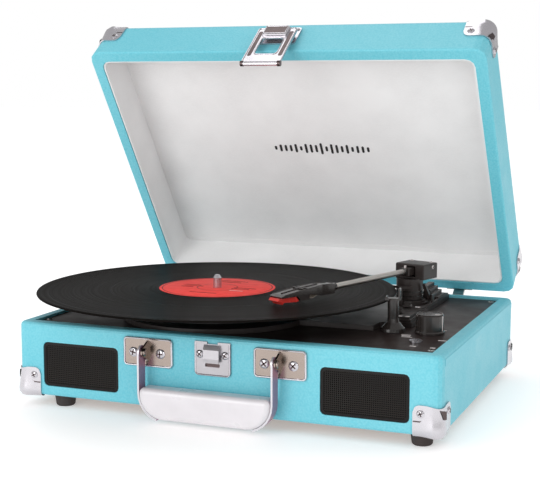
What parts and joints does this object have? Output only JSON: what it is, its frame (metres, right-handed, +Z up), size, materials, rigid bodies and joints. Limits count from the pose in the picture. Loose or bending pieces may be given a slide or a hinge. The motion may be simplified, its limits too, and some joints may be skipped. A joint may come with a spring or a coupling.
{
  "type": "suitcase record player",
  "caption": "Portable record player in a clamshell suitcase, with an open hinged lid, speakers in the front wall, a record on the platter, a tonearm and a carrying handle.",
  "frame": {"origin": "middle of the footprint of the whole object, record and open lid included, on the floor", "axes": "+X to the right as seen from the front, +Y from the front wall to the hinges, +Z up"},
  "size_m": [0.3686, 0.3684, 0.3149],
  "materials": {
    "turquoise_leatherette": "turquoise pebbled leatherette over fibreboard",
    "grey_lining": "light grey smooth lining",
    "chrome": "polished",
    "bright_steel": "bright zinc plated",
    "black_plastic": "satin black",
    "deck_black": "satin black sheet",
    "black_rubber": "matt",
    "grille_black": "black perforated mesh",
    "vinyl": "grooved black vinyl with a plain red label",
    "white_grip": "off-white",
    "red_plastic": "red",
    "aluminium": "satin",
    "circuit_green": "solder mask",
    "platter_mat": "black felt",
    "fibreboard": "plain brown board"
  },
  "bodies": {
    "base": {"arm_rest_post": "black_plastic", "base_cap_front_left": "chrome", "base_cap_front_right": "chrome", "base_cap_rear_left": "chrome", "base_cap_rear_right": "chrome", "base_shell": "turquoise_leatherette", "bottom_panel": "fibreboard", "catch_plate": "chrome", "circuit_board": "circuit_green", "deck_plate": "deck_black", "drive_belt": "black_rubber", "foot_front_left": "black_rubber", "foot_front_right": "black_rubber", "foot_rear_left": "black_rubber", "foot_rear_right": "black_rubber", "handle_plate_left": "chrome", "handle_plate_right": "chrome", "handle_rivet_left": "chrome", "handle_rivet_right": "chrome", "headphone_jack": "chrome", "hinge_base_leaf_left": "bright_steel", "hinge_base_leaf_right": "bright_steel", "motor": "bright_steel", "plinth": "black_plastic", "rear_socket_panel": "black_plastic", "speaker_grille_left": "grille_black", "speaker_grille_right": "grille_black", "speaker_left": "black_plastic", "speaker_right": "black_plastic", "spindle": "chrome"},
    "lid": {"lid_shell": "turquoise_leatherette", "lid_lining": "grey_lining", "lid_cap_front_left": "chrome", "lid_cap_front_right": "chrome", "lid_cap_rear_left": "chrome", "lid_cap_rear_right": "chrome", "hinge_lid_leaf_left": "bright_steel", "hinge_lid_leaf_right": "bright_steel", "latch_base_plate": "chrome"},
    "latch": {"latch_hasp": "chrome"},
    "handle": {"handle_grip": "white_grip", "handle_strap_left": "chrome", "handle_strap_right": "chrome"},
    "platter": {"platter": "black_plastic", "platter_mat": "platter_mat", "record": "vinyl"},
    "pulley": {"motor_pulley": "aluminium"},
    "volume": {"volume_knob": "black_plastic"},
    "speed": {"speed_selector": "black_plastic"},
    "auto_stop": {"auto_stop_switch": "black_plastic"},
    "turret": {"tonearm_turret": "black_plastic"},
    "arm": {"arm_tube": "aluminium", "arm_yoke": "black_plastic", "headshell": "black_plastic", "cartridge": "black_plastic", "stylus_holder": "red_plastic"},
    "cue_lift": {"cue_platform": "black_plastic"},
    "cue_handle": {"cue_lever": "black_plastic"}
  },
  "joints": [
    {"name": "lid_hinge", "type": "hinge", "parent": "base", "child": "lid", "pos_m": [0.00515, 0.14872, 0.064], "axis": [-1, 0, 0], "range_deg": [-41.5, 45]},
    {"name": "latch_hinge", "type": "hinge", "parent": "lid", "child": "latch", "pos_m": [0.00315, 0.01324, 0.30723], "axis": [-1, 0, 0], "range_deg": [0, 74]},
    {"name": "handle_swing", "type": "hinge", "parent": "base", "child": "handle", "pos_m": [0.00315, -0.13362, 0.056], "axis": [-1, 0, 0], "range_deg": [0, 110]},
    {"name": "platter_spin", "type": "hinge", "parent": "base", "child": "platter", "pos_m": [-0.03385, -0.03372, 0], "axis": [0, 0, -1], "continuous": true},
    {"name": "pulley_spin", "type": "hinge", "parent": "base", "child": "pulley", "pos_m": [-0.08754, -0.00272, 0], "axis": [0, 0, -1], "continuous": true},
    {"name": "volume_turn", "type": "hinge", "parent": "base", "child": "volume", "pos_m": [0.15085, -0.03612, 0], "axis": [0, 0, 1], "range_deg": [-60, 240]},
    {"name": "speed_slide", "type": "slide", "parent": "base", "child": "speed", "axis": [0, 1, 0], "range_m": [-0.005, 0.005]},
    {"name": "auto_stop_slide", "type": "slide", "parent": "base", "child": "auto_stop", "axis": [0, 1, 0], "range_m": [0, 0.006]},
    {"name": "tonearm_swing", "type": "hinge", "parent": "base", "child": "turret", "pos_m": [0.10515, 0.07087, 0], "axis": [0, 0, 1], "range_deg": [-12.5, 24]},
    {"name": "tonearm_lift", "type": "hinge", "parent": "turret", "child": "arm", "pos_m": [0.10749, 0.07852, 0.101], "axis": [-0.9563, 0.2924, 0], "range_deg": [0, 3]},
    {"name": "cue_lever_turn", "type": "hinge", "parent": "base", "child": "cue_handle", "pos_m": [0.12295, 0.07187, 0.078], "axis": [-1, 0, 0], "range_deg": [0, 50]},
    {"name": "cue_rise", "type": "slide", "parent": "base", "child": "cue_lift", "axis": [0, 0, 1], "range_m": [0, 0.0095]}
  ],
  "couplings": [
    {"joint": "pulley_spin", "follows": "platter_spin", "ratio": 12},
    {"joint": "tonearm_lift", "follows": "cue_lever_turn", "ratio": 0.06},
    {"joint": "cue_rise", "follows": "cue_lever_turn", "m_per_rad": 0.01088}
  ]
}
